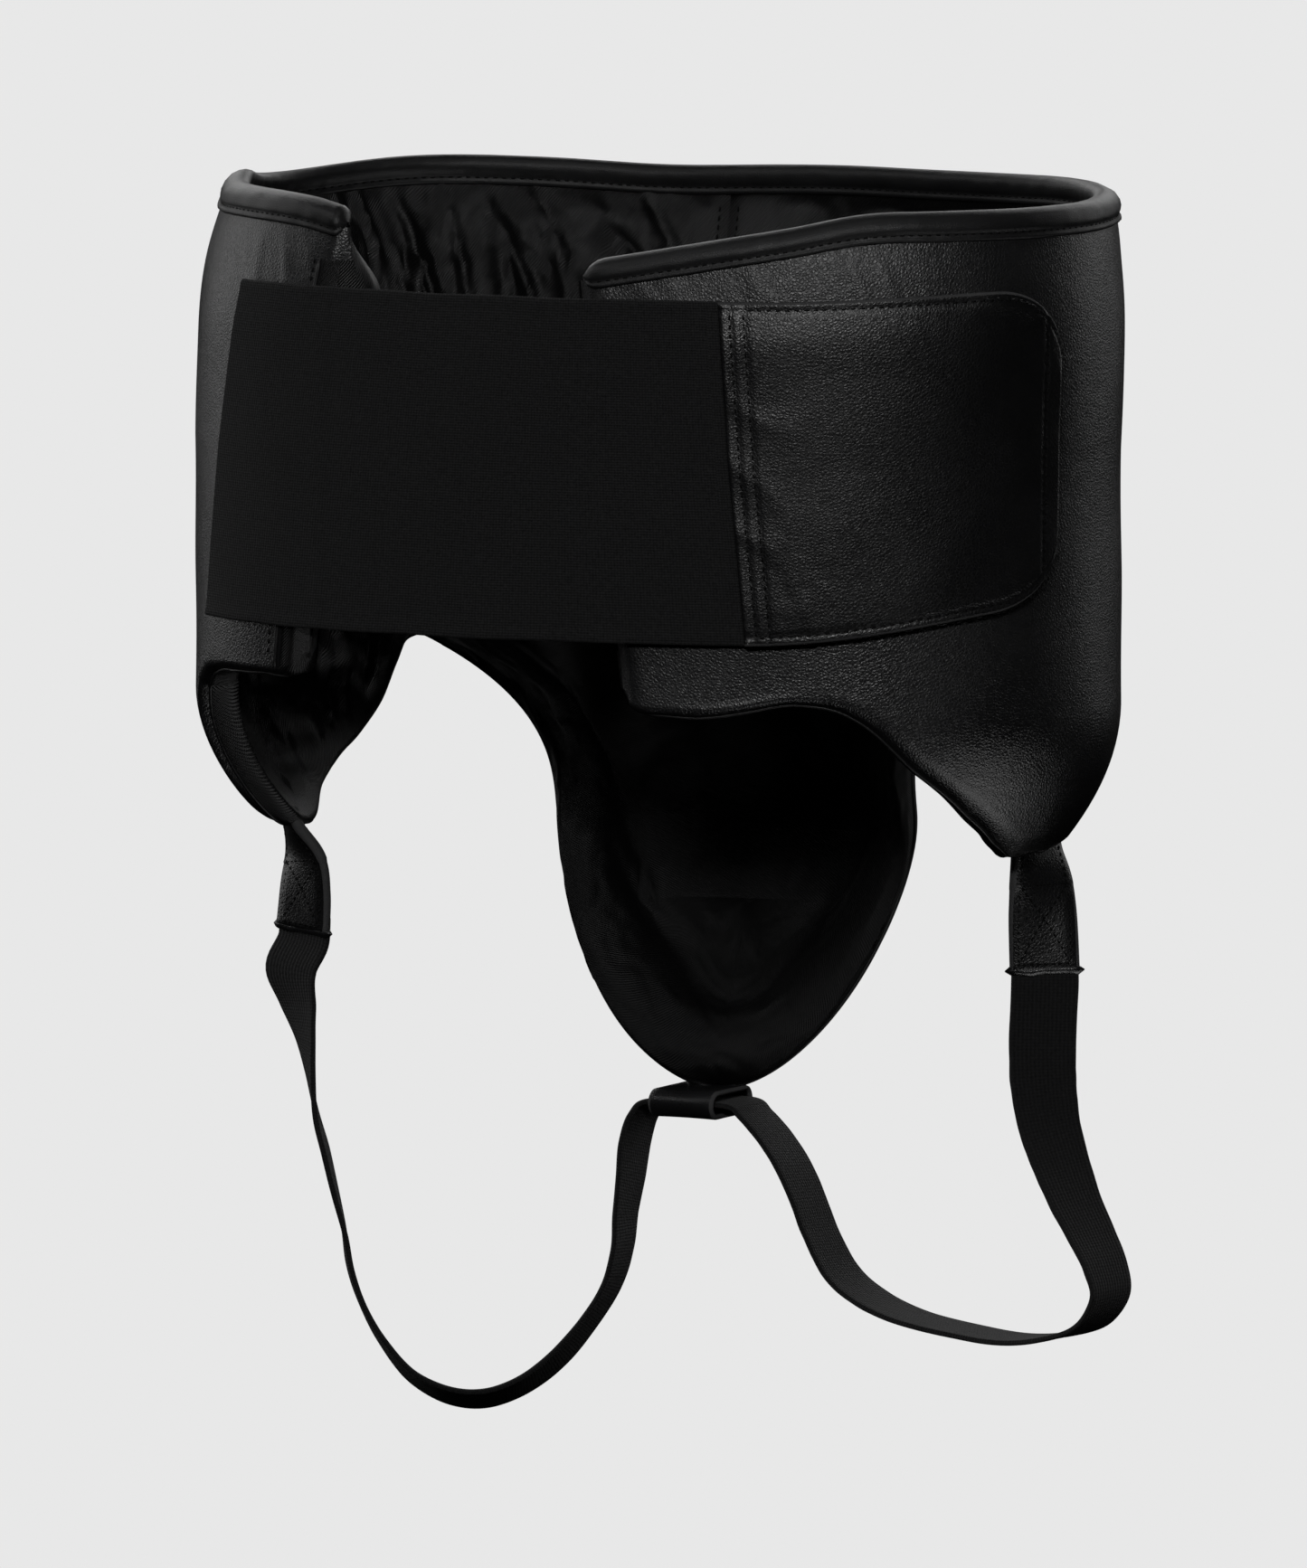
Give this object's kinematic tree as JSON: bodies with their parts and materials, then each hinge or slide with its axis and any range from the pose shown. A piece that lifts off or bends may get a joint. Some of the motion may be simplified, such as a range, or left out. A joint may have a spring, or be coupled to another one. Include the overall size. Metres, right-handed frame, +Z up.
{
  "type": "groin protector",
  "caption": "Padded waist ring with a groin cup, hip flaps, a rear elastic closure with a hook-and-loop tab, and elastic leg straps through a keeper.",
  "frame": {"origin": "centre of the waist opening at the mid height of the elastic closure", "axes": "+X to the wearer's right, +Y to the wearer's front, +Z up; the closure is at -Y and the cup at +Y"},
  "size_m": [0.3634, 0.2412, 0.4681],
  "materials": {
    "leather": "smooth black synthetic leather, soft gloss",
    "foam": "black closed-cell foam",
    "lining": "black woven satin",
    "elastic": "matt black woven elastic",
    "cup_plastic": "moulded hard plastic",
    "tape": "black hook-and-loop tape"
  },
  "bodies": {
    "front": {"front_shell": "leather", "front_foam": "foam", "front_lining_left": "lining", "front_lining_right": "lining", "front_binding": "leather", "cup_shell": "leather", "cup_insert": "cup_plastic", "cup_lining": "lining", "cup_rim_pad": "foam", "keeper_hanger": "leather", "keeper_loop": "leather", "keeper_strap": "elastic", "left_hip_shell": "leather", "left_hip_foam": "foam", "left_hip_lining": "lining", "right_hip_shell": "leather", "right_hip_foam": "foam", "right_hip_lining": "lining", "left_hip_tab": "leather", "right_hip_tab": "leather"},
    "left_wing": {"left_wing_shell": "leather", "left_wing_foam": "foam", "left_wing_lining": "lining", "left_wing_binding": "leather", "elastic_sewn_end": "elastic"},
    "right_wing": {"right_wing_shell": "leather", "right_wing_foam": "foam", "right_wing_lining": "lining", "right_wing_binding": "leather", "loop_tape": "tape"},
    "closure_band": {"closure_elastic": "elastic"},
    "closure_tab": {"tab_leather": "leather", "hook_tape": "tape", "elastic_tab_end": "elastic"},
    "left_leg_strap": {"left_leg_strap": "elastic"},
    "right_leg_strap": {"right_leg_strap": "elastic"}
  },
  "joints": [
    {"name": "left_wing_flex", "type": "hinge", "parent": "front", "child": "left_wing", "pos_m": [-0.16886, -0.03703, 0], "axis": [0, 0, -1], "range_deg": [0, 30], "stiffness_Nm_per_rad": 0.5},
    {"name": "right_wing_flex", "type": "hinge", "parent": "front", "child": "right_wing", "pos_m": [0.16886, -0.03703, 0], "axis": [0, 0, 1], "range_deg": [0, 24]},
    {"name": "closure_swing", "type": "hinge", "parent": "left_wing", "child": "closure_band", "pos_m": [-0.11858, -0.08341, 0], "axis": [0, 0, -1], "range_deg": [0, 110]},
    {"name": "tab_peel", "type": "hinge", "parent": "closure_band", "child": "closure_tab", "pos_m": [0.0594, -0.10294, 0], "axis": [0.0802, 0.0053, -0.9968], "range_deg": [0, 80]},
    {"name": "left_leg_strap_swing", "type": "hinge", "parent": "front", "child": "left_leg_strap", "pos_m": [-0.141, 0.006, -0.1952], "axis": [0.8094, 0.4139, -0.4166], "range_deg": [-15, 15]},
    {"name": "right_leg_strap_swing", "type": "hinge", "parent": "front", "child": "right_leg_strap", "pos_m": [0.151, 0.001, -0.2012], "axis": [-0.8524, 0.3803, -0.3588], "range_deg": [-15, 15]}
  ],
  "couplings": [
    {"joint": "right_wing_flex", "follows": "left_wing_flex", "ratio": 0.8}
  ]
}
